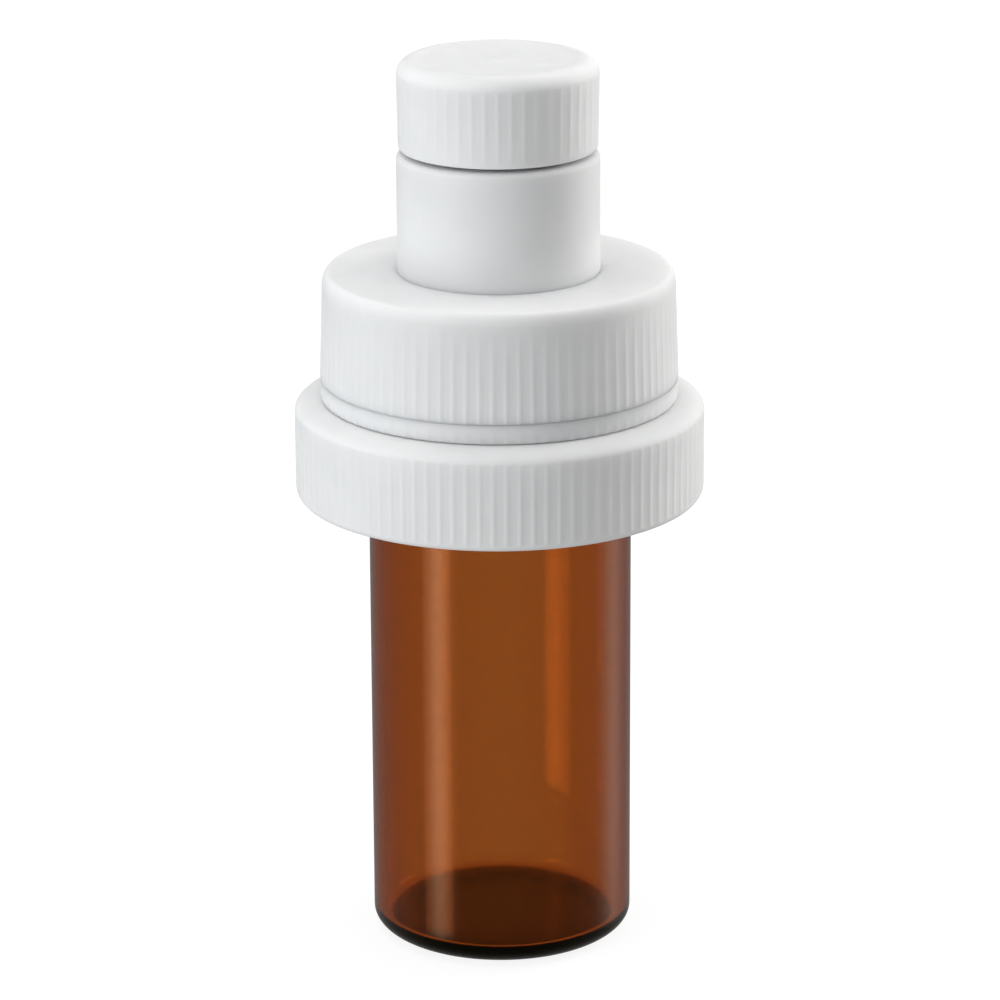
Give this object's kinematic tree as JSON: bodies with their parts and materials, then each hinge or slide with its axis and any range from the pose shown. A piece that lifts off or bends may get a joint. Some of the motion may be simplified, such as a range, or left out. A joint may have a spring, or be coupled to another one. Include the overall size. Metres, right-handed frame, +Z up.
{
  "type": "prescription vial",
  "caption": "Amber glass vial with a ribbed white collar, a ribbed ring cap that clamps a smooth spout tower, and a small ribbed screw cap on the spout.",
  "frame": {"origin": "centre of the foot ring that the vial stands on, at the height of the surface", "axes": "+Z up along the common axis of the vial and all its caps; the object is round, so +X and +Y are any two directions at right angles to it"},
  "size_m": [0.0434, 0.0434, 0.0964],
  "materials": {
    "amber_glass": "clear amber, glossy",
    "white_plastic": "satin moulded polypropylene",
    "seal_foam": "matt polyethylene foam sheet",
    "natural_plastic": "natural low-density polyethylene"
  },
  "bodies": {
    "vial": {"vial": "amber_glass"},
    "neck_gasket": {"neck_gasket": "seal_foam"},
    "collar": {"collar": "white_plastic", "tamper_band": "white_plastic"},
    "spout": {"spout": "white_plastic", "flange_gasket": "seal_foam", "dropper_insert": "natural_plastic"},
    "ring_cap": {"ring_cap": "white_plastic"},
    "cap_liner": {"cap_liner": "seal_foam"},
    "small_cap": {"small_cap": "white_plastic"}
  },
  "joints": [
    {"name": "collar_lift", "type": "slide", "parent": "vial", "child": "neck_gasket", "axis": [0, 0, 1], "range_m": [0, 0.012]},
    {"name": "collar_turn", "type": "hinge", "parent": "neck_gasket", "child": "collar", "pos_m": [0, 0, 0.055], "axis": [0, 0, 1], "range_deg": [0, 1350]},
    {"name": "spout_lift", "type": "slide", "parent": "collar", "child": "spout", "axis": [0, 0, 1], "range_m": [0, 0.0088]},
    {"name": "ring_turn", "type": "hinge", "parent": "spout", "child": "ring_cap", "pos_m": [0, 0, 0.068], "axis": [0, 0, 1], "range_deg": [0, 990]},
    {"name": "cap_lift", "type": "slide", "parent": "spout", "child": "cap_liner", "axis": [0, 0, 1], "range_m": [0, 0.008]},
    {"name": "cap_turn", "type": "hinge", "parent": "cap_liner", "child": "small_cap", "pos_m": [0, 0, 0.092], "axis": [0, 0, 1], "range_deg": [0, 900]}
  ],
  "couplings": [
    {"joint": "collar_lift", "follows": "collar_turn", "m_per_rad": 0.00050532},
    {"joint": "spout_lift", "follows": "ring_turn", "m_per_rad": 0.00050532},
    {"joint": "cap_lift", "follows": "cap_turn", "m_per_rad": 0.00050532}
  ]
}
